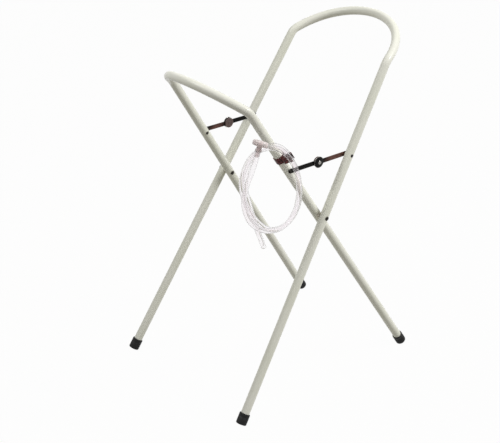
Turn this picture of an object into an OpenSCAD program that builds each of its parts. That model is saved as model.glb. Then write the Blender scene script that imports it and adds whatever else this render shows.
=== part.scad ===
// Folding stand for a baby bath. Two bent tube frames cross like an X and turn
// on a rivet at each crossing. A two-link brace on each side holds them open.
// A clip on the short frame carries the coiled drain hose.
// Millimetres, +Z up, feet on Z = 0, and the tall frame's hoop towards +X.

/* [Tube] */
// Outside diameter of the frame tube
tube_d = 22; // [20:0.5:24]
// Wall of the frame tube
tube_wall = 1.2; // [0.8:0.1:2]
// Centre-line radius of the bends below the hoops
bend_r = 36; // [30:1:45]

/* [Frames] */
// Height of the crossing rivets above the floor
pivot_z = 470; // [440:5:500]
// Lean of each frame from the vertical when the stand is open
lean = 32.5; // [30:0.5:35]
// Angle at which the legs of one frame spread towards their feet
splay = 3.5; // [2.5:0.1:4.5]
// Half distance between the short frame's legs at the crossing
short_half_w = 172.5; // [160:0.5:185]
// Clear space between a short leg and the tall leg beside it
leg_gap = 6; // [5.6:0.1:8]

/* [Tall frame] */
// Leg length from the crossing up to the bend
tall_upper = 415; // [390:1:430]
// Turn of the hoop away from the plane of the legs
tall_tip = 32; // [25:1:38]
// Slant of the hoop's ends towards each other
tall_close = 16.5; // [14:0.5:22]

/* [Short frame] */
// Leg length from the crossing up to the bend
short_upper = 364; // [350:1:385]
// Turn of the hoop away from the plane of the legs
short_tip = 20; // [15:1:28]
// Slant of the hoop's ends towards each other
short_close = 32; // [26:0.5:36]

/* [Foot caps] */
// Wall of the cap round the tube
cap_wall = 2.6; // [1.8:0.1:3.5]
// Depth of the tube in the cap
cap_depth = 24; // [18:1:32]
// Thickness of the cap under the tube
cap_floor = 5; // [4:0.5:8]
// Rounding of the cap's lower edge
cap_round = 3; // [1.5:0.5:3.5]
// Height of the worn flat where the cap meets the floor
cap_flat = 1; // [0.6:0.1:1.6]

/* [Crossing] */
// Diameter of the crossing rivet's shank
pivot_d = 6; // [5:0.1:7]
// Diameter of the crossing rivet's heads
pivot_head_d = 11; // [9:0.5:12]
// Height of the crossing rivet's heads
pivot_head_h = 2.6; // [2:0.1:3.5]
// Diameter of the spacer between the two legs
spacer_d = 14; // [12:0.5:15]

/* [Brace] */
// Distance of the brace rivets from the crossing, along the legs
brace_r = 166; // [158:1:170]
// Width of a brace link
link_w = 11.6; // [10:0.2:13]
// Thickness of a brace link
link_t = 1.5; // [1.2:0.1:1.7]
// Depth of the stiffening groove pressed along a link
groove_t = 0.5; // [0.3:0.1:0.7]
// Diameter of a brace rivet's shank
rivet_d = 4.5; // [4:0.1:5]
// Diameter of a brace rivet's heads
rivet_head_d = 8.4; // [7.6:0.2:9.4]
// Height of a brace rivet's heads
rivet_head_h = 1.6; // [1.2:0.1:2]
// Thickness of the washer between a short leg and its link
short_washer_t = 0.9; // [0.7:0.1:1.1]
// Space between the two links where they cross at the knuckle
link_space = 0.3; // [0.2:0.05:0.5]

/* [Knuckle] */
// Diameter of the domed disc outside the links
dome_d = 28; // [24:0.5:30]
// Height of the domed disc
dome_h = 4.2; // [3.5:0.1:5]
// Diameter of the flat ring under the dome
ring_d = 29; // [25:0.5:30]
// Thickness of the flat ring under the dome
ring_t = 0.8; // [0.6:0.1:1.2]
// Diameter of the disc inside the links
base_d = 26; // [22:0.5:30]
// Thickness of the disc inside the links
base_t = 2.4; // [1.8:0.1:3]
// Diameter of the knuckle rivet's shank
knuckle_d = 5; // [4:0.1:6]
// Diameter of the knuckle rivet's head
knuckle_head_d = 10; // [8:0.5:12]

/* [Hose clip] */
// Distance of the clip from the crossing, along the leg
clip_at = 207; // [204:1:240]
// Width of the clip along the leg
clip_w = 18; // [12:0.5:20]
// Wall of the clip's bands
clip_wall = 2; // [1.5:0.1:2.5]
// Thickness of the web between the band and the hose seat
clip_web = 8; // [6:0.5:9]
// Distance of the hose seat from the leg's axis
clip_reach = 29.5; // [29:0.5:32]
// Turn of the hose seat round the leg, from the outer side towards the brace
clip_turn = 26; // [10:1:30]

/* [Hose and connector] */
// Outside diameter of the drain hose
hose_d = 13; // [11:0.5:14]
// Bore of the drain hose
hose_bore = 10; // [8:0.5:10.5]
// Diameter of the connector's flange
flange_d = 37; // [32:1:42]
// Thickness of the connector's flange
flange_t = 6; // [4:0.5:8]
// Length of the connector's collar beyond the flange
collar_len = 17; // [12:1:22]
// Length of the spigot inside the hose
spigot_len = 14; // [10:1:20]

/* [Hidden] */
$fn = 64;

fit = 0.1;              // clearance of a piece pushed on or through another
hose_fit = 0.3;         // clearance round the soft hose in the clip
run = 0.06;             // radial clearance of a part that turns on a rivet
bar_in = 0.02;          // how far a link's bar lies inside the width of its round ends
turn_gap = 0.5;         // end clearance beside a leg that turns
cut = 60;               // length of a cutter that goes right through
bend_thin = 0.1;        // what bending takes off each face of the wall
bend_lap = 0.8;         // lap of a bend into the straight tube and the hoop

tube_r = tube_d/2;
left = 1;               // the sides of the stand, as seen from the hoop of the
right = -1;             // short frame: left is towards +Y
tall_lean = lean;
short_lean = -lean;
// A leg's surface beside its axis, measured along Y, because the leg is splayed
side_r = tube_r/cos(splay);
tall_half_w = short_half_w + leg_gap + 2*side_r;

// Vector helpers
function unit(v) = v/norm(v);
// Direction up a leg, or up a hoop's end with its own tip and slant
function up_dir(side, tilt, slant) =
    [sin(tilt)*cos(slant), -side*sin(slant), cos(tilt)*cos(slant)];
// Point on a leg's axis at a distance from the crossing
function leg_point(half_w, tilt, side, along) =
    [0, side*half_w, pivot_z] + along*up_dir(side, tilt, splay);

// The lower end of a leg: the cap's rounded rim dips cap_flat under the floor
foot_dir = up_dir(left, lean, splay);
cap_r = tube_r + fit + cap_wall;
rim_drop = (cap_r - cap_round)*sqrt(1 - pow(foot_dir[2], 2)) + cap_round;
rim_z = rim_drop - cap_flat;
cap_end = -(pivot_z - rim_z)/foot_dir[2] - cap_round;
leg_end = cap_end + cap_floor;

// The bend between a leg and its hoop
function bend_turn(tilt, tip, close) =
    acos(up_dir(left, tilt, splay)*up_dir(left, tilt + tip, close));
function bend_run(tilt, tip, close) = bend_r*tan(bend_turn(tilt, tip, close)/2);
// Radius of the hoop between its two bends
function hoop_r(half_w, upper, tilt, tip, close) =
    (half_w - upper*sin(splay) - bend_run(tilt, tip, close)*sin(close))/cos(close);
// How far the hoop's crown lies beyond its bends
function hoop_rise(half_w, upper, tilt, tip, close) =
    bend_run(tilt, tip, close)*cos(close)
    + hoop_r(half_w, upper, tilt, tip, close)*(1 - sin(close));

// The stand is centred on its own length, so the origin is under its middle
crown_x = tall_upper*foot_dir[0]
    + hoop_rise(tall_half_w, tall_upper, lean, tall_tip, tall_close)*sin(lean + tall_tip)
    + tube_r;
heel_x = (cap_end + cap_round)*foot_dir[0]
    - (cap_r - cap_round)*sqrt(1 - pow(foot_dir[0], 2)) - cap_round;
mid_x = (crown_x + heel_x)/2;

// The brace: half the distance between its rivets is one link's length
link_len = brace_r*sin(lean)*cos(splay);
brace_z = pivot_z + brace_r*cos(lean)*cos(splay);
brace_x = link_len;
short_brace_y = short_half_w - brace_r*sin(splay);
tall_brace_y = tall_half_w - brace_r*sin(splay);
// Layers between the two legs, counted along Y from the middle of the stand
short_link_y = short_brace_y + side_r + short_washer_t;
tall_link_y = short_link_y + link_t + link_space;
tall_washer_t = tall_brace_y - side_r - tall_link_y - link_t;
knuckle_y = short_link_y + link_t + link_space/2;
link_groove_w = link_w/3;
link_hole_run = link_w*1.3;

// The spacer is flat where the tall leg turns against it
spacer_end = tall_half_w - side_r - turn_gap;

// Clip bands
band_r = tube_r + fit + clip_wall;
seat_bore = hose_d/2 + hose_fit;
seat_r = seat_bore + clip_wall;
seat_mouth = hose_d*0.66;

// Connector
collar_r = hose_d/2 - 0.2;
spigot_r = hose_bore/2 - fit;
drain_bore = hose_bore/2 - 1.6;

// The hose's route, from the connector's collar to the cut end
hose_route = [
    [-250, -217, 710], [-260, -217, 684], [-272, -217, 658], [-285, -217, 633],
    [-292, -217, 606], [-291, -217, 578], [-282, -217, 551], [-266, -217, 528],
    [-244, -217, 510], [-218, -216, 498], [-190, -214, 492], [-163, -210, 493],
    [-139, -206, 503], [-123, -204, 520], [-114, -203, 545], [-112, -203, 573],
    [-115, -203, 601], [-124, -203, 628], [-138, -203, 653], [-156, -203, 675],
    [-178, -203, 692], [-205, -203, 702], [-233, -203, 703], [-258, -202, 692],
    [-276, -202, 671], [-286, -202, 645], [-286, -202, 617], [-279, -202, 590],
    [-268, -202, 565], [-254, -202, 541], [-236, -202, 518], [-214, -200, 498],
    [-190, -197, 485], [-164, -192, 479], [-137, -189, 483], [-115, -188, 498],
    [-101, -188, 521], [-96, -188, 548], [-98, -188, 576], [-104, -188, 603],
    [-111.5, -187.5, 624], [-120.5, -187, 642], [-134, -185.5, 663],
    [-151, -184.5, 681], [-172, -184.5, 693], [-198, -184.5, 697],
    [-225, -185, 692], [-247, -186, 677], [-261, -187, 655], [-265, -187, 628],
    [-262, -187, 600], [-255, -187, 573], [-247, -187, 546], [-238, -187, 519],
    [-229, -187, 493], [-219, -187, 467], [-209, -187, 441]
];
// The connector's collar ends square to the hose's first stretch
connector_tilt = 21;
hose_sides = 10;

// ---- tube -----------------------------------------------------------------

// Section of the tube's wall. Bending draws it down by a little on both faces.
module tube_section(thinned = 0) {
    difference() {
        circle(r = tube_r - thinned, $fn = 32);
        circle(r = tube_r - tube_wall + thinned, $fn = 32);
    }
}

// Places its children on a leg's axis, with local Z up the leg
module on_leg(half_w, tilt, side, along = 0) {
    translate([0, side*half_w, pivot_z])
        rotate([0, tilt, 0])
            rotate([side*splay, 0, 0])
                translate([0, 0, along])
                    children();
}

// A bend that starts at a point and turns from one direction to another, with
// a short lap into the tube at each end
module tube_bend(start, from, to) {
    axis = unit(cross(from, to));
    out = cross(from, axis);
    centre = start - bend_r*out;
    lap = bend_lap/bend_r*180/PI;
    multmatrix([
        [out[0], from[0], axis[0], centre[0]],
        [out[1], from[1], axis[1], centre[1]],
        [out[2], from[2], axis[2], centre[2]],
        [0, 0, 0, 1]
    ])
        rotate([0, 0, -lap])
            rotate_extrude(angle = acos(from*to) + 2*lap)
                translate([bend_r, 0])
                    tube_section(bend_thin);
}

// Two legs, two bends and the hoop that joins them
module bent_frame(half_w, tilt, upper, tip, close) {
    sense = sign(tilt);
    run_in = bend_run(abs(tilt), tip, close);
    radius = hoop_r(half_w, upper, abs(tilt), tip, close);
    hoop_tilt = tilt + sense*tip;
    for (side = [left, right]) {
        corner = leg_point(half_w, tilt, side, upper);
        leg_up = up_dir(side, tilt, splay);
        on_leg(half_w, tilt, side, leg_end)
            linear_extrude(upper - run_in - leg_end)
                tube_section();
        tube_bend(corner - run_in*leg_up, leg_up, up_dir(side, hoop_tilt, close));
    }
    middle = leg_point(half_w, tilt, left, upper);
    translate([middle[0], 0, middle[2]])
        rotate([0, hoop_tilt, 0])
            translate([0, 0, run_in*cos(close) - radius*sin(close)])
                rotate([0, 90, 0])
                    rotate([0, 0, 90 + close])
                        rotate_extrude(angle = 180 - 2*close)
                            translate([radius, 0])
                                tube_section();
}

// A hole or a shank along Y, from one Y to another
module along_y(from, to, r, at = [0, 0]) {
    translate([at[0], min(from, to), at[1]])
        rotate([-90, 0, 0])
            cylinder(r = r, h = abs(to - from));
}

// Solid bar as thick as the tube, to shape what sits on a leg
module leg_core(half_w, tilt, side, along, length) {
    on_leg(half_w, tilt, side, along - length/2)
        cylinder(r = tube_r, h = length);
}

// ---- frames ---------------------------------------------------------------

module tall_frame() {
    color("ivory")
        difference() {
            bent_frame(tall_half_w, tall_lean, tall_upper, tall_tip, tall_close);
            for (side = [left, right]) {
                along_y(side*tall_half_w - cut/2, side*tall_half_w + cut/2,
                    pivot_d/2 + run, [0, pivot_z]);
                along_y(side*tall_brace_y - cut/2, side*tall_brace_y + cut/2,
                    rivet_d/2 + run, [brace_x, brace_z]);
            }
        }
}

module short_frame() {
    color("ivory")
        difference() {
            bent_frame(short_half_w, short_lean, short_upper, short_tip, short_close);
            for (side = [left, right]) {
                along_y(side*short_half_w - cut/2, side*short_half_w + cut/2,
                    pivot_d/2 + run, [0, pivot_z]);
                along_y(side*short_brace_y - cut/2, side*short_brace_y + cut/2,
                    rivet_d/2 + run, [-brace_x, brace_z]);
            }
        }
}

// ---- foot caps ------------------------------------------------------------

module cap_profile() {
    mouth_r = cap_r - 0.6;
    difference() {
        union() {
            square([cap_r - cap_round, cap_round]);
            translate([cap_r - cap_round, cap_round]) circle(r = cap_round);
            translate([0, cap_round]) square([cap_r, cap_depth + cap_floor - cap_round - 1.5]);
            polygon([
                [0, cap_depth + cap_floor - 1.5],
                [cap_r, cap_depth + cap_floor - 1.5],
                [mouth_r, cap_depth + cap_floor],
                [0, cap_depth + cap_floor]
            ]);
        }
        translate([0, cap_floor]) square([tube_r + fit, cap_depth + 1]);
        translate([-cap_r, 0]) square([cap_r, cap_depth + cap_floor]);
    }
}

module foot_cap(half_w, tilt, side) {
    color("#1c1b1a")
        difference() {
            on_leg(half_w, tilt, side, cap_end) rotate_extrude() cap_profile();
            foot = leg_point(half_w, tilt, side, cap_end);
            translate([foot[0] - cut, foot[1] - cut, -cut])
                cube([2*cut, 2*cut, cut]);
        }
}

// ---- crossing -------------------------------------------------------------

// Domed head whose flat side is at y = 0 and whose crown points to +Y
module dome_head(d, h) {
    ball = (pow(d/2, 2) + pow(h, 2))/(2*h);
    rotate([-90, 0, 0])
        intersection() {
            translate([0, 0, h - ball]) sphere(r = ball);
            cylinder(r = d/2, h = h);
        }
}

module pivot_rivet(side) {
    inner_face = short_half_w - side_r;
    outer_face = tall_half_w + side_r + turn_gap;
    skirt = 1.6;
    color("#3a3633")
        mirror([0, side == right ? 1 : 0, 0])
            translate([0, 0, pivot_z]) {
                along_y(inner_face - 0.5, outer_face + 0.5, pivot_d/2);
                translate([0, outer_face, 0]) dome_head(pivot_head_d, pivot_head_h);
                translate([0, inner_face - 0.4, 0])
                    mirror([0, 1, 0]) dome_head(pivot_head_d, pivot_head_h);
                difference() {
                    along_y(inner_face - 0.4, inner_face + skirt, pivot_head_d/2);
                    translate([0, 0, -pivot_z])
                        leg_core(short_half_w, short_lean, left, 0, cut);
                }
            }
}

module pivot_spacer(side) {
    color("#cbc6b8")
        difference() {
            along_y(side*short_half_w, side*spacer_end, spacer_d/2, [0, pivot_z]);
            leg_core(short_half_w, short_lean, side, 0, cut);
            along_y(side*short_half_w, side*(spacer_end + 1), pivot_d/2 + fit, [0, pivot_z]);
        }
}

// ---- brace ----------------------------------------------------------------

// Flat link with round ends, from x = 0 to x = length, y from 0 to link_t
module link_blank(length) {
    translate([0, link_t, 0])
        rotate([90, 0, 0])
            linear_extrude(link_t)
                union() {
                    circle(d = link_w);
                    translate([0, -link_w/2 + bar_in]) square([length, link_w - 2*bar_in]);
                    translate([length, 0]) circle(d = link_w);
                }
}

// Groove pressed into one face of a link, with round ends
module link_groove(length, face_y) {
    translate([0, face_y + groove_t, 0])
        rotate([90, 0, 0])
            linear_extrude(2*groove_t)
                union() {
                    translate([link_hole_run, 0]) circle(d = link_groove_w);
                    translate([link_hole_run, -link_groove_w/2 + bar_in])
                        square([length - 2.3*link_hole_run, link_groove_w - 2*bar_in]);
                    translate([length - 1.3*link_hole_run, 0]) circle(d = link_groove_w);
                }
}

// The outer link, from the tall leg to the knuckle
module tall_link(side) {
    color("#4a3d36")
        mirror([0, side == right ? 1 : 0, 0])
            translate([brace_x, tall_link_y, brace_z])
                mirror([1, 0, 0])
                    difference() {
                        link_blank(link_len);
                        along_y(-1, link_t + 1, rivet_d/2 + run);
                        along_y(-1, link_t + 1, knuckle_d/2 + fit, [link_len, 0]);
                        link_groove(link_len, link_t);
                    }
}

// The inner link, from the short leg to the knuckle
module short_link(side) {
    color("#4a3d36")
        mirror([0, side == right ? 1 : 0, 0])
            translate([-brace_x, short_link_y, brace_z])
                difference() {
                    link_blank(link_len);
                    along_y(-1, link_t + 1, rivet_d/2 + run);
                    along_y(-1, link_t + 1, knuckle_d/2 + fit, [link_len, 0]);
                    link_groove(link_len, 0);
                }
}

// Rivet of the tall leg: head outside the leg, shank through it, washer and link
module tall_brace_rivet(side) {
    outer_face = tall_brace_y + side_r;
    tail_face = tall_link_y - run;
    color("#3a3633")
        mirror([0, side == right ? 1 : 0, 0])
            translate([brace_x, 0, brace_z]) {
                along_y(tail_face - 0.5, outer_face + 0.5, rivet_d/2);
                translate([0, outer_face + 0.2, 0]) dome_head(rivet_head_d, rivet_head_h);
                translate([0, tail_face, 0])
                    mirror([0, 1, 0]) dome_head(rivet_head_d, rivet_head_h - link_space);
                difference() {
                    along_y(outer_face - 1.2, outer_face + 0.2, rivet_head_d/2);
                    translate([-brace_x, 0, -brace_z])
                        leg_core(tall_half_w, tall_lean, left, brace_r, cut);
                }
            }
}

// Rivet of the short leg: head inside the leg, shank through it, washer and link
module short_brace_rivet(side) {
    inner_face = short_brace_y - side_r;
    tail_face = short_link_y + link_t + run;
    color("#3a3633")
        mirror([0, side == right ? 1 : 0, 0])
            translate([-brace_x, 0, brace_z]) {
                along_y(inner_face - 0.5, tail_face + 0.5, rivet_d/2);
                translate([0, tail_face, 0]) dome_head(rivet_head_d, rivet_head_h - link_space);
                translate([0, inner_face - 0.2, 0])
                    mirror([0, 1, 0]) dome_head(rivet_head_d, rivet_head_h);
                difference() {
                    along_y(inner_face - 0.2, inner_face + 1.2, rivet_head_d/2);
                    translate([brace_x, 0, -brace_z])
                        leg_core(short_half_w, short_lean, left, brace_r, cut);
                }
            }
}

// Washer with one side shaped to the leg
module tall_brace_washer(side) {
    color("#8d8a84")
        difference() {
            along_y(side*(tall_link_y + link_t + run), side*tall_brace_y,
                rivet_head_d/2, [brace_x, brace_z]);
            leg_core(tall_half_w, tall_lean, side, brace_r, cut);
            along_y(side*tall_link_y, side*(tall_brace_y + 1),
                rivet_d/2 + fit, [brace_x, brace_z]);
        }
}

module short_brace_washer(side) {
    color("#8d8a84")
        difference() {
            along_y(side*short_brace_y, side*(short_link_y - run),
                rivet_head_d/2, [-brace_x, brace_z]);
            leg_core(short_half_w, short_lean, side, brace_r, cut);
            along_y(side*(short_brace_y - 1), side*(short_link_y + 1),
                rivet_d/2 + fit, [-brace_x, brace_z]);
        }
}

// ---- knuckle --------------------------------------------------------------

dome_y = tall_link_y + link_t + ring_t;
dome_lip = 1.2;
dome_ball = (pow(dome_d/2, 2) + pow(dome_h - dome_lip, 2))/(2*(dome_h - dome_lip));
seat_flat = 0.7;

// The domed disc outside the outer link, with a flat seat for the rivet's head
module knuckle_dome(side) {
    color("#191817")
        mirror([0, side == right ? 1 : 0, 0])
            translate([0, dome_y, brace_z])
                rotate([-90, 0, 0])
                    difference() {
                        intersection() {
                            translate([0, 0, dome_h - dome_ball]) sphere(r = dome_ball);
                            cylinder(d = dome_d, h = dome_h);
                        }
                        translate([0, 0, -1]) cylinder(r = knuckle_d/2 + fit, h = dome_h + 2);
                        translate([0, 0, dome_h - seat_flat])
                            cylinder(d = knuckle_head_d + 4*fit, h = dome_h);
                    }
}

// The flat ring between the domed disc and the outer link
module knuckle_ring(side) {
    color("#b8b4ad")
        mirror([0, side == right ? 1 : 0, 0])
            difference() {
                along_y(tall_link_y + link_t, dome_y, ring_d/2, [0, brace_z]);
                along_y(tall_link_y + link_t - 1, dome_y + 1, knuckle_d/2 + fit, [0, brace_z]);
            }
}

// The rivet through the dome, the ring and the outer link
module knuckle_rivet(side) {
    head_y = dome_y + dome_h - seat_flat;
    color("#c9c5bd")
        mirror([0, side == right ? 1 : 0, 0])
            translate([0, 0, brace_z]) {
                along_y(knuckle_y + link_space/4, head_y + 0.4, knuckle_d/2);
                translate([0, head_y, 0]) dome_head(knuckle_head_d, 1.9);
            }
}

// The disc inside the inner link, with the rivet's tail through that link
module knuckle_base(side) {
    base_y = short_link_y - base_t;
    color("#5b4234")
        mirror([0, side == right ? 1 : 0, 0])
            translate([0, 0, brace_z]) {
                difference() {
                    along_y(base_y, short_link_y, base_d/2);
                    along_y(base_y - 1, base_y + 0.5, knuckle_head_d/2 + 1);
                }
                along_y(short_link_y - 0.5, knuckle_y - link_space/4, knuckle_d/2);
                translate([0, base_y + 0.5, 0]) mirror([0, 1, 0]) dome_head(knuckle_head_d, 1.4);
            }
}

// ---- hose clip ------------------------------------------------------------

// Places its children on the right short leg, with local -Y towards the outside
module at_clip() {
    on_leg(short_half_w, short_lean, right, clip_at)
        translate([0, 0, -clip_w/2])
            children();
}

// Outline of the web: it leaves the band straight, past the folded link, and
// widens only beyond that link into the flank of the hose seat
module clip_web_outline(seat) {
    polygon([
        [-clip_web/2, 0],
        [clip_web/2, 0],
        [clip_web/2, seat[1] + seat_r],
        [seat[0] - 0.68*seat_r, seat[1] + 0.68*seat_r],
        [seat[0] - 0.9*seat_r, seat[1] - 0.3*seat_r],
        [-clip_web/2, seat[1] + 0.6*seat_r]
    ]);
}

module hose_clip() {
    seat = clip_reach*[sin(clip_turn), -cos(clip_turn)];
    color("#4a1c18")
        at_clip()
            difference() {
                union() {
                    cylinder(r = band_r, h = clip_w);
                    linear_extrude(clip_w) clip_web_outline(seat);
                    translate(seat) cylinder(r = seat_r, h = clip_w);
                }
                translate([0, 0, -1]) cylinder(r = tube_r + fit, h = clip_w + 2);
                rotate([0, 0, clip_turn]) {
                    translate([0, -clip_reach, -1]) cylinder(r = seat_bore, h = clip_w + 2);
                    translate([-seat_mouth/2, -clip_reach - seat_r - 1, -1])
                        cube([seat_mouth, seat_r + 1, clip_w + 2]);
                    translate([-tube_r*0.45, tube_r*0.6, -1])
                        cube([tube_r*0.9, band_r, clip_w + 2]);
                }
            }
}

// ---- hose and connector ---------------------------------------------------

// Flanged connector: the flange seats in the bath's drain, the hose on its spigot
module hose_connector() {
    color("#e3b9b6", 0.8)
        translate(hose_route[0])
            rotate([0, connector_tilt, 0])
                translate([0, 0, collar_len])
                    rotate_extrude()
                        polygon([
                            [drain_bore, -collar_len - spigot_len],
                            [spigot_r, -collar_len - spigot_len],
                            [spigot_r, -collar_len],
                            [collar_r + 1.6, -collar_len],
                            [collar_r + 1.6, -collar_len + 4],
                            [collar_r, -collar_len + 4],
                            [collar_r, -2],
                            [flange_d/2 - 1.5, -1],
                            [flange_d/2, 0],
                            [flange_d/2, flange_t - 1.2],
                            [flange_d/2 - 1.2, flange_t],
                            [drain_bore + 2.5, flange_t],
                            [drain_bore, flange_t - 2.5]
                        ]);
}

// Way along the route at one of its points
function route_dir(i) =
    unit(hose_route[min(i + 1, len(hose_route) - 1)] - hose_route[max(i - 1, 0)]);

// Ring of points round one place on a path, square to its direction
function ring_at(p, dir, r) =
    let (across = unit(cross(dir, [0, 1, 0])), over = cross(across, dir))
    [for (k = [0:hose_sides - 1]) p + r*(cos(360*k/hose_sides)*across
        + sin(360*k/hose_sides)*over)];

module drain_hose() {
    rings = len(hose_route);
    points = [for (i = [0:rings - 1])
        each ring_at(hose_route[i], route_dir(i), hose_d/2)];
    sides = [for (i = [0:rings - 2], k = [0:hose_sides - 1])
        let (n = (k + 1)%hose_sides, a = i*hose_sides, b = (i + 1)*hose_sides)
        [a + k, a + n, b + n, b + k]];
    first = [for (k = [hose_sides - 1:-1:0]) k];
    last = [for (k = [0:hose_sides - 1]) (rings - 1)*hose_sides + k];
    color("#d9d6dc", 0.5)
        polyhedron(points = points, faces = concat([first], sides, [last]));
}

// ---- assembly -------------------------------------------------------------

// Moves the stand so that the origin lies under the middle of its length
module placed() {
    translate([-mid_x, 0, 0]) children();
}

placed() tall_frame();
placed() short_frame();
placed() foot_cap(tall_half_w, tall_lean, left);  // tall_foot_cap_left
placed() foot_cap(tall_half_w, tall_lean, right);  // tall_foot_cap_right
placed() foot_cap(short_half_w, short_lean, left);  // short_foot_cap_left
placed() foot_cap(short_half_w, short_lean, right);  // short_foot_cap_right
placed() pivot_rivet(left);  // pivot_rivet_left
placed() pivot_rivet(right);  // pivot_rivet_right
placed() pivot_spacer(left);  // pivot_spacer_left
placed() pivot_spacer(right);  // pivot_spacer_right
placed() tall_link(left);  // tall_link_left
placed() tall_link(right);  // tall_link_right
placed() short_link(left);  // short_link_left
placed() short_link(right);  // short_link_right
placed() tall_brace_rivet(left);  // tall_brace_rivet_left
placed() tall_brace_rivet(right);  // tall_brace_rivet_right
placed() short_brace_rivet(left);  // short_brace_rivet_left
placed() short_brace_rivet(right);  // short_brace_rivet_right
placed() tall_brace_washer(left);  // tall_brace_washer_left
placed() tall_brace_washer(right);  // tall_brace_washer_right
placed() short_brace_washer(left);  // short_brace_washer_left
placed() short_brace_washer(right);  // short_brace_washer_right
placed() knuckle_dome(left);  // knuckle_dome_left
placed() knuckle_dome(right);  // knuckle_dome_right
placed() knuckle_ring(left);  // knuckle_ring_left
placed() knuckle_ring(right);  // knuckle_ring_right
placed() knuckle_rivet(left);  // knuckle_rivet_left
placed() knuckle_rivet(right);  // knuckle_rivet_right
placed() knuckle_base(left);  // knuckle_base_left
placed() knuckle_base(right);  // knuckle_base_right
placed() hose_clip();
hose_connector();
drain_hose();
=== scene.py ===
"""Looks of a folding baby bath stand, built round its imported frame."""

import math

import bmesh
import bpy
from bpy.props import FloatProperty, FloatVectorProperty, IntProperty, PointerProperty
from bpy.types import Operator, Panel, PropertyGroup
from mathutils import Matrix, Vector


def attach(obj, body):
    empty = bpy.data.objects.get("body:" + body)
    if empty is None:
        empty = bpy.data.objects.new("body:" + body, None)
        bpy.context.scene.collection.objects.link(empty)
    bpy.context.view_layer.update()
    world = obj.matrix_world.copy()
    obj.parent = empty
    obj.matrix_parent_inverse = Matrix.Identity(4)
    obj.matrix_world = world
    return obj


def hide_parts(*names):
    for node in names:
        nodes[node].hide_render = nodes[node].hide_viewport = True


bl_info = {
    "name": "Baby Bath Stand",
    "version": (1, 0, 0),
    "blender": (4, 5, 0),
    "location": "3D View > Sidebar > Bath Stand",
    "description": "Finishes a folding baby bath stand: enamel, rubber, steel and a clear hose",
    "category": "Add Mesh",
}

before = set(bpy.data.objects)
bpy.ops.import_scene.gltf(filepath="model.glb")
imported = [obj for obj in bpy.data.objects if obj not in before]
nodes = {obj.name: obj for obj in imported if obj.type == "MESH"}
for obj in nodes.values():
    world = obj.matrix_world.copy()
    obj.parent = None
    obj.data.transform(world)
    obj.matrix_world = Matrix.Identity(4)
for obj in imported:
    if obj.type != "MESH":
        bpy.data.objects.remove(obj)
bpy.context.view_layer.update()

SIDES = {"left": 1, "right": -1}
LEGS = ("tall", "short")
BODIES = {"tall": "tall_frame_set", "short": "short_frame_set"}

# Places of the legs, in metres and radians, as the frame has them
MIDDLE_X = 0.026285
CROSSING_Z = 0.470
LEAN = math.radians(32.5)
SPLAY = math.radians(3.5)
HALF_WIDTH = {"tall": 0.200541, "short": 0.1725}
LEG_END = -0.552079

# The hose's way from the connector's collar to its cut end, in millimetres
HOSE_ROUTE = (
    (-250, -217, 710), (-260, -217, 684), (-272, -217, 658), (-285, -217, 633),
    (-292, -217, 606), (-291, -217, 578), (-282, -217, 551), (-266, -217, 528),
    (-244, -217, 510), (-218, -216, 498), (-190, -214, 492), (-163, -210, 493),
    (-139, -206, 503), (-123, -204, 520), (-114, -203, 545), (-112, -203, 573),
    (-115, -203, 601), (-124, -203, 628), (-138, -203, 653), (-156, -203, 675),
    (-178, -203, 692), (-205, -203, 702), (-233, -203, 703), (-258, -202, 692),
    (-276, -202, 671), (-286, -202, 645), (-286, -202, 617), (-279, -202, 590),
    (-268, -202, 565), (-254, -202, 541), (-236, -202, 518), (-214, -200, 498),
    (-190, -197, 485), (-164, -192, 479), (-137, -189, 483), (-115, -188, 498),
    (-101, -188, 521), (-96, -188, 548), (-98, -188, 576), (-104, -188, 603),
    (-111.5, -187.5, 624), (-120.5, -187, 642), (-134, -185.5, 663),
    (-151, -184.5, 681), (-172, -184.5, 693), (-198, -184.5, 697),
    (-225, -185, 692), (-247, -186, 677), (-261, -187, 655), (-265, -187, 628),
    (-262, -187, 600), (-255, -187, 573), (-247, -187, 546), (-238, -187, 519),
    (-229, -187, 493), (-219, -187, 467), (-209, -187, 441),
)

# The connector's tilt, and the way from the hose's start up to its flange
CONNECTOR_TILT = math.radians(21)
CONNECTOR_RISE = 0.017

# How the meshes are made
TURN_STEPS = 64
ROUTE_STEPS = 5
CREASE_ANGLE = math.radians(35)
MERGE_DISTANCE = 0.00001
CUT_DISTANCE = 0.000001

# Noise: its own roughness, and the span that most of its values lie in
NOISE_ROUGHNESS = 0.55
NOISE_LOW, NOISE_HIGH = 0.3, 0.7

# The stage, in metres and radians, with the camera's sensor in millimetres
FLOOR_REACH = 12
FLOOR_COLOUR = (0.42, 0.41, 0.37, 1)
FLOOR_WHITENESS = 0.975
SKY_COLOUR = (1, 0.99, 0.97, 1)
SEEN_COLOUR = (1, 1, 1, 1)
LAMP_AIM = Vector((0, 0, 0.45))
KEY_SIZE, KEY_PLACE = 1.5, (2.1, -2.4, 3.6)
FILL_SIZE, FILL_PLACE = 1.2, (-1.4, 0.8, 2.8)
CAMERA_PLACE = Vector((-1.8974, -2.2077, 1.7692))
CAMERA_AZIMUTH = math.radians(-39.174)
CAMERA_ELEVATION = math.radians(25.568)
CAMERA_ROLL = math.radians(-0.318)
SENSOR_WIDTH = 36

# The clear hose needs many bounces, and a clamp against bright specks
LIGHT_BOUNCES = 32
INDIRECT_CLAMP = 1.0


# ---- sizes and colours ------------------------------------------------------


def colour(name, default, description):
    return FloatVectorProperty(
        name=name, description=description, default=default,
        size=3, min=0, max=1, subtype="COLOR",
    )


def length(name, default, description):
    return FloatProperty(
        name=name, description=description, default=default,
        min=0, unit="LENGTH", subtype="DISTANCE", precision=4,
    )


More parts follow.
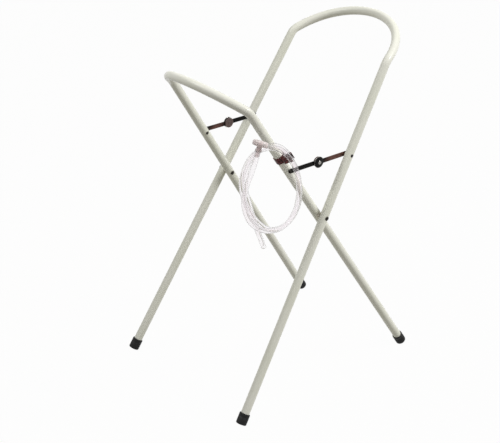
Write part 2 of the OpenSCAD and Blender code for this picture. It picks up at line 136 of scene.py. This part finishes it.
class BathStandFinish(PropertyGroup):
    """Colours of the stand's finishes"""

    enamel: colour("Enamel", (0.88, 0.875, 0.79), "Cream enamel of the tube")
    rubber: colour("Rubber", (0.004, 0.004, 0.004), "Foot caps")
    dark_steel: colour("Dark steel", (0.035, 0.032, 0.028), "Rivets")
    spacer: colour("Spacer", (0.60, 0.58, 0.50), "Spacers at the crossings")
    link: colour("Link", (0.0045, 0.0040, 0.0035), "Brace links")
    zinc: colour("Zinc", (0.66, 0.65, 0.61), "Washers and knuckle rings")
    bright: colour("Bright steel", (0.34, 0.33, 0.31), "Knuckle rivets")
    dome: colour("Dome", (0.004, 0.004, 0.004), "Knuckle domes")
    base: colour("Base", (0.075, 0.040, 0.032), "Discs inside the knuckles")
    clip: colour("Clip", (0.078, 0.010, 0.011), "Hose clip")
    connector: colour("Connector", (0.97, 0.89, 0.88), "Drain connector")
    hose: colour("Hose", (0.995, 0.985, 0.990), "Clear drain hose")


class BathStandHose(PropertyGroup):
    """Sizes of the drain hose and its connector"""

    diameter: length("Diameter", 0.013, "Outside diameter of the hose")
    bore: length("Bore", 0.010, "Inside diameter of the hose")
    flange: length("Flange", 0.037, "Diameter of the connector's flange")
    sides: IntProperty(
        name="Sides", description="Faces round the hose", default=14, min=8, max=48
    )


class BathStandCap(PropertyGroup):
    """Sizes of a foot cap"""

    radius: length("Radius", 0.0137, "Outside radius of the cap")
    bore: length("Bore", 0.0111, "Radius of the cap's mouth")
    height: length("Height", 0.029, "Length of the cap along the leg")
    floor: length("Floor", 0.005, "Rubber under the tube")
    rounding: length("Rounding", 0.003, "Rounding of the lower edge")


class BathStandStage(PropertyGroup):
    """Camera and lamps"""

    focal: FloatProperty(
        name="Focal length", description="Lens of the camera",
        default=88.34, min=10, unit="CAMERA",
    )
    key: FloatProperty(
        name="Key lamp", description="Power of the key lamp",
        default=134, min=0, unit="POWER",
    )
    fill: FloatProperty(
        name="Fill lamp", description="Power of the fill lamp",
        default=26, min=0, unit="POWER",
    )
    sky: FloatProperty(
        name="Sky", description="Strength of the light from all round", default=0.27, min=0
    )


# ---- materials --------------------------------------------------------------


class Finish:
    """A material with its shader, and the nodes that shape its surface"""

    def __init__(self, name, colour, roughness, metallic=0.0):
        self.material = bpy.data.materials.new(name)
        self.material.use_nodes = True
        self.tree = self.material.node_tree
        self.shader = self.tree.nodes["Principled BSDF"]
        self.colour = (*colour, 1)
        self.shader.inputs["Base Color"].default_value = self.colour
        self.shader.inputs["Roughness"].default_value = roughness
        self.shader.inputs["Metallic"].default_value = metallic
        self.place = self.node("ShaderNodeTexCoord").outputs["Object"]

    def node(self, kind, **values):
        made = self.tree.nodes.new(kind)
        for key, value in values.items():
            setattr(made, key, value)
        return made

    def link(self, source, target):
        self.tree.links.new(source, target)

    def set(self, **values):
        for key, value in values.items():
            self.shader.inputs[key.replace("_", " ")].default_value = value

    def noise(self, scale, detail, stretch=(1, 1, 1)):
        """Noise on the piece's own place, drawn out along an axis if wanted"""
        mapping = self.node("ShaderNodeMapping")
        mapping.inputs["Scale"].default_value = stretch
        self.link(self.place, mapping.inputs["Vector"])
        made = self.node("ShaderNodeTexNoise")
        made.inputs["Scale"].default_value = scale
        made.inputs["Detail"].default_value = detail
        made.inputs["Roughness"].default_value = NOISE_ROUGHNESS
        self.link(mapping.outputs["Vector"], made.inputs["Vector"])
        return made.outputs["Fac"]

    def between(self, value, low, high, to_low, to_high):
        """The value, moved from one span into another"""
        made = self.node("ShaderNodeMapRange")
        for key, number in (
            ("From Min", low), ("From Max", high), ("To Min", to_low), ("To Max", to_high)
        ):
            made.inputs[key].default_value = number
        self.link(value, made.inputs["Value"])
        return made.outputs["Result"]

    def tint(self, value, low, high, factor):
        """Mixes a share of another shade of the colour in, where the value is high"""
        made = self.node("ShaderNodeMix", data_type="RGBA")
        before = self.shader.inputs["Base Color"]
        if before.is_linked:
            self.link(before.links[0].from_socket, made.inputs["A"])
        else:
            made.inputs["A"].default_value = self.colour
        shade = [min(1, c * f) for c, f in zip(self.colour, factor)]
        made.inputs["B"].default_value = (*shade, 1)
        self.link(self.between(value, low, high, 0, 1), made.inputs["Factor"])
        self.link(made.outputs["Result"], self.shader.inputs["Base Color"])

    def roughen(self, value, low, high):
        """Lets the roughness vary between two values"""
        made = self.between(value, NOISE_LOW, NOISE_HIGH, low, high)
        self.link(made, self.shader.inputs["Roughness"])

    def bump(self, value, strength, distance):
        """Adds a layer of relief over those that are there"""
        made = self.node("ShaderNodeBump")
        made.inputs["Strength"].default_value = strength
        made.inputs["Distance"].default_value = distance
        before = self.shader.inputs["Normal"]
        if before.is_linked:
            self.link(before.links[0].from_socket, made.inputs["Normal"])
        self.link(value, made.inputs["Height"])
        self.link(made.outputs["Normal"], self.shader.inputs["Normal"])


def enamel_paint(tint):
    """Baked enamel: a soft gloss over a faint orange peel"""
    paint = Finish("cream_enamel", tint, 0.3)
    paint.set(Coat_Weight=0.1, Coat_Roughness=0.12, Specular_IOR_Level=0.25)
    paint.tint(paint.noise(9, 2), 0.35, 0.75, (0.95, 0.96, 0.92))
    paint.tint(paint.noise(140, 4), 0.62, 0.80, (0.94, 0.93, 0.88))
    paint.roughen(paint.noise(45, 3), 0.24, 0.38)
    paint.bump(paint.noise(420, 2), 0.04, 0.0003)
    paint.bump(paint.noise(60, 2), 0.05, 0.0006)
    return paint.material


def moulded_rubber(tint):
    """Black rubber with the fine grain of its mould, paler in places"""
    rubber = Finish("foot_rubber", tint, 0.55)
    rubber.set(Specular_IOR_Level=0.25)
    rubber.tint(rubber.noise(35, 4), 0.45, 0.80, (2.6, 2.5, 2.4))
    rubber.roughen(rubber.noise(120, 3), 0.42, 0.68)
    rubber.bump(rubber.noise(1400, 3), 0.22, 0.0003)
    return rubber.material


def plated_steel(name, tint, low, high):
    """Plated metal, darker in places, with a roughness from low to high"""
    steel = Finish(name, tint, (low + high) / 2, 1.0)
    steel.tint(steel.noise(260, 4), 0.40, 0.75, (0.72, 0.70, 0.66))
    steel.roughen(steel.noise(500, 3), low, high)
    steel.bump(steel.noise(1800, 2), 0.12, 0.0002)
    return steel.material


def link_plating(tint):
    """Black plating with brown patches of painted reflection, and the lines of the rolled strip
    """
    plating = Finish("link_plating", tint, 0.38, 0.1)
    plating.set(Specular_IOR_Level=0.08)
    along = (0.08, 1, 1)
    plating.tint(plating.noise(300, 4, along), 0.42, 0.78, (1.9, 1.8, 1.7))
    # Large brown patches: painted reflection on the plating, not a stain or tarnish
    plating.tint(plating.noise(11, 1), 0.53, 0.64, (32, 18, 17))
    plating.roughen(plating.noise(600, 3, along), 0.28, 0.50)
    plating.bump(plating.noise(1500, 2, along), 0.15, 0.0002)
    return plating.material


def moulded_plastic(name, tint, low, high, coat=0.0, specular=0.5):
    """Opaque plastic, paler in places, with a roughness from low to high"""
    plastic = Finish(name, tint, (low + high) / 2)
    plastic.set(Coat_Weight=coat, Coat_Roughness=0.08, Specular_IOR_Level=specular)
    plastic.tint(plastic.noise(90, 3), 0.45, 0.80, (1.5, 1.35, 1.3))
    plastic.roughen(plastic.noise(220, 3), low, high)
    plastic.bump(plastic.noise(900, 2), 0.10, 0.0002)
    return plastic.material


def connector_plastic(tint):
    """Pale translucent plastic that lets some light through"""
    plastic = Finish("connector_plastic", tint, 0.24)
    plastic.set(Transmission_Weight=0.4, IOR=1.30, Coat_Weight=0.2, Coat_Roughness=0.1)
    plastic.tint(plastic.noise(120, 2), 0.40, 0.75, (0.94, 0.88, 0.88))
    plastic.roughen(plastic.noise(300, 2), 0.18, 0.32)
    plastic.bump(plastic.noise(700, 2), 0.08, 0.0002)
    return plastic.material


def clear_vinyl(tint):
    """Clear soft vinyl with a faint haze and a slight ripple"""
    vinyl = Finish("clear_vinyl", tint, 0.02)
    vinyl.set(Transmission_Weight=0.96, IOR=1.12)
    vinyl.tint(vinyl.noise(22, 3), 0.45, 0.75, (0.99, 0.975, 0.98))
    vinyl.roughen(vinyl.noise(30, 1), 0.0, 0.02)
    vinyl.bump(vinyl.noise(12, 0), 0.02, 0.0002)
    return vinyl.material


# ---- helpers ----------------------------------------------------------------


def dress_mesh(mesh, material):
    """Gives a mesh one material and smooth faces"""
    mesh.materials.clear()
    mesh.materials.append(material)
    mesh.polygons.foreach_set("use_smooth", [True] * len(mesh.polygons))


def add_piece(bm, name, material, body, node):
    """Makes an object of a finished bmesh, which rides on a body in a node's place"""
    mesh = bpy.data.meshes.new(name)
    bm.to_mesh(mesh)
    bm.free()
    dress_mesh(mesh, material)
    piece = bpy.data.objects.new(name, mesh)
    bpy.context.scene.collection.objects.link(piece)
    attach(piece, body)
    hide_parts(node)
    return piece


def dress_node(name, material, rounding=0.0):
    """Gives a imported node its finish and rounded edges, or else sharp ones"""
    node = nodes[name]
    dress_mesh(node.data, material)
    weld = node.modifiers.new("Weld", "WELD")
    weld.merge_threshold = MERGE_DISTANCE
    if rounding:
        bevel = node.modifiers.new("Rounded edges", "BEVEL")
        bevel.width = rounding
        bevel.segments = 3
        bevel.limit_method = "ANGLE"
        bevel.angle_limit = CREASE_ANGLE
        bevel.use_clamp_overlap = True
        node.modifiers.new("Even shading", "WEIGHTED_NORMAL")
    else:
        split = node.modifiers.new("Sharp edges", "EDGE_SPLIT")
        split.split_angle = CREASE_ANGLE


def leg_place(leg, side, along):
    """Place on a leg's axis, with local Z up the leg"""
    tilt = LEAN if leg == "tall" else -LEAN
    return (
        Matrix.Translation((-MIDDLE_X, SIDES[side] * HALF_WIDTH[leg], CROSSING_Z))
        @ Matrix.Rotation(tilt, 4, "Y")
        @ Matrix.Rotation(SIDES[side] * SPLAY, 4, "X")
        @ Matrix.Translation((0, 0, along))
    )


def spin_profile(profile):
    """A turned shape from the radius and height of each point of its profile"""
    bm = bmesh.new()
    corners = [bm.verts.new((radius, 0, height)) for radius, height in profile]
    for a, b in zip(corners, corners[1:]):
        bm.edges.new((a, b))
    bmesh.ops.spin(
        bm, geom=bm.verts[:] + bm.edges[:], cent=(0, 0, 0), axis=(0, 0, 1),
        angle=math.tau, steps=TURN_STEPS, use_merge=True,
    )
    bmesh.ops.remove_doubles(bm, verts=bm.verts, dist=MERGE_DISTANCE)
    bmesh.ops.recalc_face_normals(bm, faces=bm.faces)
    return bm


def cap_profile(cap):
    """A foot cap's outline: tread, lower edge, groove, lip and the floor inside"""
    flat = cap.radius - cap.rounding
    tread = 0.0006
    groove = cap.radius - 0.0004
    lower_edge = [
        (flat + cap.rounding * math.sin(a), cap.rounding * (1 - math.cos(a)))
        for a in (math.radians(15 * i) for i in range(7))
    ]
    return [
        (0, tread), (flat * 0.30, tread), (flat * 0.34, 0), (flat * 0.62, 0),
        (flat * 0.66, tread), (flat * 0.82, tread), (flat * 0.86, 0), *lower_edge,
        (cap.radius, 0.0190), (groove, 0.0194), (groove, 0.0202), (cap.radius, 0.0206),
        (cap.radius, 0.0272), (cap.radius - 0.0002, 0.0280), (cap.radius - 0.0008, 0.0287),
        (cap.radius - 0.0014, cap.height), (cap.bore + 0.0004, cap.height),
        (cap.bore, cap.height - 0.0004), (cap.bore, cap.floor), (0, cap.floor),
    ]


def connector_profile(size):
    """The connector's outline, from its spigot's end up to the flange and down the bore"""
    bore, spigot = size.bore / 2 - 0.0016, size.bore / 2 - 0.0001
    collar, neck, flange = 0.0081, 0.0063, size.flange / 2
    end, rim, dish, top = -0.0310, -0.0042, 0.0052, 0.0060
    return [
        (bore, end), (spigot - 0.0006, end), (spigot, -0.0290), (spigot, -0.0172),
        (0.0079, -0.0170), (collar, -0.0166), (collar, -0.0134), (0.0077, -0.0130),
        (neck, -0.0128), (neck, -0.0046), (0.0072, -0.0028), (0.0092, -0.0016),
        (flange - 0.0030, -0.0010), (flange - 0.0026, -0.0036), (flange - 0.0022, rim),
        (flange - 0.0008, rim), (flange, -0.0034), (flange, 0.0047),
        (flange - 0.0004, 0.0055), (flange - 0.0012, top), (flange - 0.0034, top),
        (flange - 0.0042, dish), (flange - 0.0076, dish), (flange - 0.0084, top),
        (bore + 0.0026, top), (bore + 0.0010, 0.0051), (bore, 0.0035), (bore, end),
    ]


def smooth_route(points):
    """Points on one smooth curve through the given ones"""
    ends = [points[0] * 2 - points[1], *points, points[-1] * 2 - points[-2]]
    line = []
    for a, b, c, d in zip(ends, ends[1:], ends[2:], ends[3:]):
        for step in range(ROUTE_STEPS):
            t = step / ROUTE_STEPS
            line.append(
                0.5 * (2 * b + (c - a) * t + (2 * a - 5 * b + 4 * c - d) * t**2
                       + (3 * b - a - 3 * c + d) * t**3)
            )
    return [*line, points[-1]]


def tube_along(route, radius, sides):
    """A bmesh of a plain tube round a line of points"""
    curve = bpy.data.curves.new("hose_line", "CURVE")
    curve.dimensions = "3D"
    curve.bevel_depth = radius
    curve.bevel_resolution = sides // 2 - 2
    spline = curve.splines.new("POLY")
    spline.points.add(len(route) - 1)
    for point, place in zip(spline.points, route):
        point.co = (*place, 1)
    line = bpy.data.objects.new("hose_line", curve)
    bpy.context.scene.collection.objects.link(line)
    bm = bmesh.new()
    bm.from_mesh(line.to_mesh())
    line.to_mesh_clear()
    bpy.data.objects.remove(line)
    bmesh.ops.remove_doubles(bm, verts=bm.verts, dist=MERGE_DISTANCE)
    bmesh.ops.recalc_face_normals(bm, faces=bm.faces)
    return bm


def background_rays(tree):
    """1 for the rays that show the background: seen, mirrored or through glass"""
    path = tree.nodes.new("ShaderNodeLightPath")
    value = path.outputs["Is Camera Ray"]
    for kind in ("Is Glossy Ray", "Is Transmission Ray"):
        either = tree.nodes.new("ShaderNodeMath")
        either.operation = "MAXIMUM"
        tree.links.new(value, either.inputs[0])
        tree.links.new(path.outputs[kind], either.inputs[1])
        value = either.outputs[0]
    return value


def mix_shaders(tree, share, lit, seen, output):
    """Sends the shader that lights the stand out, with a share of the one that is seen"""
    mix = tree.nodes.new("ShaderNodeMixShader")
    tree.links.new(share, mix.inputs["Fac"])
    tree.links.new(lit.outputs[0], mix.inputs[1])
    tree.links.new(seen.outputs[0], mix.inputs[2])
    tree.links.new(mix.outputs[0], output.inputs["Surface"])


# ---- operators --------------------------------------------------------------


class BATHSTAND_OT_frames(Operator):
    """Finish the two bent tube frames"""

    bl_idname = "bath_stand.frames"
    bl_label = "Frames"

    def execute(self, context):
        enamel = enamel_paint(context.scene.bath_stand_finish.enamel)
        for leg in LEGS:
            dress_node(f"{leg}_frame", enamel)
        return {"FINISHED"}


class BATHSTAND_OT_foot_caps(Operator):
    """Mould the four rubber caps on the feet"""

    bl_idname = "bath_stand.foot_caps"
    bl_label = "Foot Caps"

    def execute(self, context):
        cap = context.scene.bath_stand_cap
        rubber = moulded_rubber(context.scene.bath_stand_finish.rubber)
        for leg in LEGS:
            for side in SIDES:
                bm = spin_profile(cap_profile(cap))
                bm.transform(leg_place(leg, side, LEG_END))
                # The worn flat lies on the floor
                cut = bmesh.ops.bisect_plane(
                    bm, geom=bm.verts[:] + bm.edges[:] + bm.faces[:], dist=CUT_DISTANCE,
                    plane_co=(0, 0, 0), plane_no=(0, 0, -1), clear_outer=True,
                )
                rim = [e for e in cut["geom_cut"] if isinstance(e, bmesh.types.BMEdge)]
                bmesh.ops.contextual_create(bm, geom=rim)
                bmesh.ops.recalc_face_normals(bm, faces=bm.faces)
                node = f"{leg}_foot_cap_{side}"
                add_piece(bm, f"{node}_rubber", rubber, BODIES[leg], node)
        return {"FINISHED"}


class BATHSTAND_OT_rivets(Operator):
    """Finish the rivets, spacers and washers of the crossings and braces"""

    bl_idname = "bath_stand.rivets"
    bl_label = "Rivets"

    def execute(self, context):
        finish = context.scene.bath_stand_finish
        dark = plated_steel("rivet_steel", finish.dark_steel, 0.30, 0.48)
        zinc = plated_steel("washer_zinc", finish.zinc, 0.28, 0.45)
        spacer = moulded_plastic("spacer_plastic", finish.spacer, 0.45, 0.60)
        for side in SIDES:
            dress_node(f"pivot_rivet_{side}", dark, 0.0003)
            dress_node(f"pivot_spacer_{side}", spacer, 0.0004)
            for leg in LEGS:
                dress_node(f"{leg}_brace_rivet_{side}", dark, 0.0002)
                dress_node(f"{leg}_brace_washer_{side}", zinc, 0.0001)
        return {"FINISHED"}


class BATHSTAND_OT_braces(Operator):
    """Finish the brace links"""

    bl_idname = "bath_stand.braces"
    bl_label = "Braces"

    def execute(self, context):
        plating = link_plating(context.scene.bath_stand_finish.link)
        for leg in LEGS:
            for side in SIDES:
                dress_node(f"{leg}_link_{side}", plating, 0.0003)
        return {"FINISHED"}


class BATHSTAND_OT_knuckles(Operator):
    """Finish the domes, rings, rivets and inner discs of the knuckles"""

    bl_idname = "bath_stand.knuckles"
    bl_label = "Knuckles"

    def execute(self, context):
        finish = context.scene.bath_stand_finish
        dome = moulded_plastic("dome_plastic", finish.dome, 0.16, 0.28, specular=0.12)
        ring = plated_steel("ring_steel", finish.zinc, 0.18, 0.32)
        bright = plated_steel("bright_steel", finish.bright, 0.10, 0.22)
        base = moulded_plastic("base_plastic", finish.base, 0.30, 0.45, coat=0.2)
        for side in SIDES:
            dress_node(f"knuckle_dome_{side}", dome, 0.0005)
            dress_node(f"knuckle_ring_{side}", ring, 0.0002)
            dress_node(f"knuckle_rivet_{side}", bright, 0.0002)
            dress_node(f"knuckle_base_{side}", base, 0.0004)
        return {"FINISHED"}


class BATHSTAND_OT_clip(Operator):
    """Finish the clip that carries the hose"""

    bl_idname = "bath_stand.clip"
    bl_label = "Hose Clip"

    def execute(self, context):
        tint = context.scene.bath_stand_finish.clip
        plastic = moulded_plastic("clip_plastic", tint, 0.24, 0.36, coat=0.05, specular=0.2)
        dress_node("hose_clip", plastic, 0.0007)
        return {"FINISHED"}


class BATHSTAND_OT_hose(Operator):
    """Make the clear drain hose and its flanged connector"""

    bl_idname = "bath_stand.hose"
    bl_label = "Drain Hose"

    def execute(self, context):
        size = context.scene.bath_stand_hose
        finish = context.scene.bath_stand_finish
        body = BODIES["short"]
        route = smooth_route([Vector(p) / 1000 for p in HOSE_ROUTE])
        start = route[0]

        bm = spin_profile(connector_profile(size))
        bm.transform(
            Matrix.Translation(start)
            @ Matrix.Rotation(CONNECTOR_TILT, 4, "Y")
            @ Matrix.Translation((0, 0, CONNECTOR_RISE))
        )
        connector = add_piece(
            bm, "drain_connector", connector_plastic(finish.connector),
            body, "hose_connector",
        )

        bm = tube_along(route, size.diameter / 2, size.sides)
        hose = add_piece(
            bm, "clear_hose", clear_vinyl(finish.hose), body, "drain_hose"
        )
        wall = hose.modifiers.new("Wall", "SOLIDIFY")
        wall.thickness = (size.diameter - size.bore) / 2
        wall.offset = -1
        return {"FINISHED"}


class BATHSTAND_OT_stage(Operator):
    """Set up the floor, the lamps and the camera"""

    bl_idname = "bath_stand.stage"
    bl_label = "Stage"

    def execute(self, context):
        stage = context.scene.bath_stand_stage
        scene = context.scene
        scene.view_settings.view_transform = "Standard"
        scene.cycles.caustics_reflective = False
        scene.cycles.sample_clamp_indirect = INDIRECT_CLAMP
        scene.cycles.max_bounces = LIGHT_BOUNCES
        scene.cycles.transmission_bounces = LIGHT_BOUNCES
        self.add_floor(scene)
        self.add_sky(scene, stage.sky)
        self.add_camera(scene, stage.focal)
        self.add_lamp(scene, "Key", stage.key, KEY_SIZE, KEY_PLACE)
        self.add_lamp(scene, "Fill", stage.fill, FILL_SIZE, FILL_PLACE)
        return {"FINISHED"}

    @staticmethod
    def add_floor(scene):
        """A floor that looks white and lights the stand from below as a pale one does"""
        bm = bmesh.new()
        bmesh.ops.create_grid(bm, x_segments=1, y_segments=1, size=FLOOR_REACH)
        mesh = bpy.data.meshes.new("floor")
        bm.to_mesh(mesh)
        bm.free()
        material = bpy.data.materials.new("pale_floor")
        material.use_nodes = True
        tree = material.node_tree
        tree.nodes.clear()
        diffuse = tree.nodes.new("ShaderNodeBsdfDiffuse")
        diffuse.inputs["Color"].default_value = FLOOR_COLOUR
        white = tree.nodes.new("ShaderNodeEmission")
        share = tree.nodes.new("ShaderNodeMath")
        share.operation = "MULTIPLY"
        share.inputs[1].default_value = FLOOR_WHITENESS
        tree.links.new(background_rays(tree), share.inputs[0])
        output = tree.nodes.new("ShaderNodeOutputMaterial")
        mix_shaders(tree, share.outputs[0], diffuse, white, output)
        mesh.materials.append(material)
        floor = bpy.data.objects.new("floor", mesh)
        scene.collection.objects.link(floor)

    @staticmethod
    def add_sky(scene, strength):
        """Soft light from all round, seen as white"""
        world = bpy.data.worlds.new("studio")
        world.use_nodes = True
        tree = world.node_tree
        plain = tree.nodes["Background"]
        plain.inputs["Color"].default_value = SKY_COLOUR
        plain.inputs["Strength"].default_value = strength
        seen = tree.nodes.new("ShaderNodeBackground")
        seen.inputs["Color"].default_value = SEEN_COLOUR
        output = tree.nodes["World Output"]
        mix_shaders(tree, background_rays(tree), plain, seen, output)
        scene.world = world

    @staticmethod
    def add_lamp(scene, name, power, size, place):
        """A square lamp that points at the stand"""
        lamp = bpy.data.lights.new(name, "AREA")
        lamp.energy = power
        lamp.size = size
        obj = bpy.data.objects.new(name, lamp)
        obj.location = place
        aim = LAMP_AIM - obj.location
        obj.rotation_euler = aim.to_track_quat("-Z", "Y").to_euler()
        scene.collection.objects.link(obj)

    @staticmethod
    def add_camera(scene, focal):
        """The camera, at the photograph's viewing angle"""
        right = Vector((math.cos(CAMERA_AZIMUTH), math.sin(CAMERA_AZIMUTH), 0))
        back = Vector((
            math.sin(CAMERA_AZIMUTH) * math.cos(CAMERA_ELEVATION),
            -math.cos(CAMERA_AZIMUTH) * math.cos(CAMERA_ELEVATION),
            math.sin(CAMERA_ELEVATION),
        ))
        up = back.cross(right)
        turned_right = math.cos(CAMERA_ROLL) * right + math.sin(CAMERA_ROLL) * up
        turned_up = -math.sin(CAMERA_ROLL) * right + math.cos(CAMERA_ROLL) * up
        camera = bpy.data.objects.new("Camera", bpy.data.cameras.new("Camera"))
        camera.data.lens = focal
        camera.data.sensor_width = SENSOR_WIDTH
        camera.matrix_world = (
            Matrix.Translation(CAMERA_PLACE)
            @ Matrix((turned_right, turned_up, back)).transposed().to_4x4()
        )
        scene.collection.objects.link(camera)
        scene.camera = camera


class BATHSTAND_PT_pieces(Panel):
    """Lists the stand's pieces in the sidebar"""

    bl_idname = "BATHSTAND_PT_pieces"
    bl_label = "Bath Stand"
    bl_space_type = "VIEW_3D"
    bl_region_type = "UI"
    bl_category = "Bath Stand"

    def draw(self, context):
        for operator in OPERATORS:
            self.layout.operator(operator.bl_idname)
        for group in GROUPS:
            values = getattr(context.scene, group)
            box = self.layout.box()
            for key in values.__annotations__:
                box.prop(values, key)


GROUPS = {
    "bath_stand_finish": BathStandFinish,
    "bath_stand_hose": BathStandHose,
    "bath_stand_cap": BathStandCap,
    "bath_stand_stage": BathStandStage,
}
OPERATORS = (
    BATHSTAND_OT_stage,
    BATHSTAND_OT_hose,
    BATHSTAND_OT_frames,
    BATHSTAND_OT_foot_caps,
    BATHSTAND_OT_rivets,
    BATHSTAND_OT_braces,
    BATHSTAND_OT_knuckles,
    BATHSTAND_OT_clip,
)


def register():
    for made in (*GROUPS.values(), *OPERATORS, BATHSTAND_PT_pieces):
        bpy.utils.register_class(made)
    for name, group in GROUPS.items():
        setattr(bpy.types.Scene, name, PointerProperty(type=group))


def unregister():
    for name in GROUPS:
        delattr(bpy.types.Scene, name)
    for made in reversed((*GROUPS.values(), *OPERATORS, BATHSTAND_PT_pieces)):
        bpy.utils.unregister_class(made)


def main():
    """Makes everything"""
    register()
    for operator in OPERATORS:
        group, name = operator.bl_idname.split(".")
        getattr(getattr(bpy.ops, group), name)()


if __name__ == "__main__":
    main()
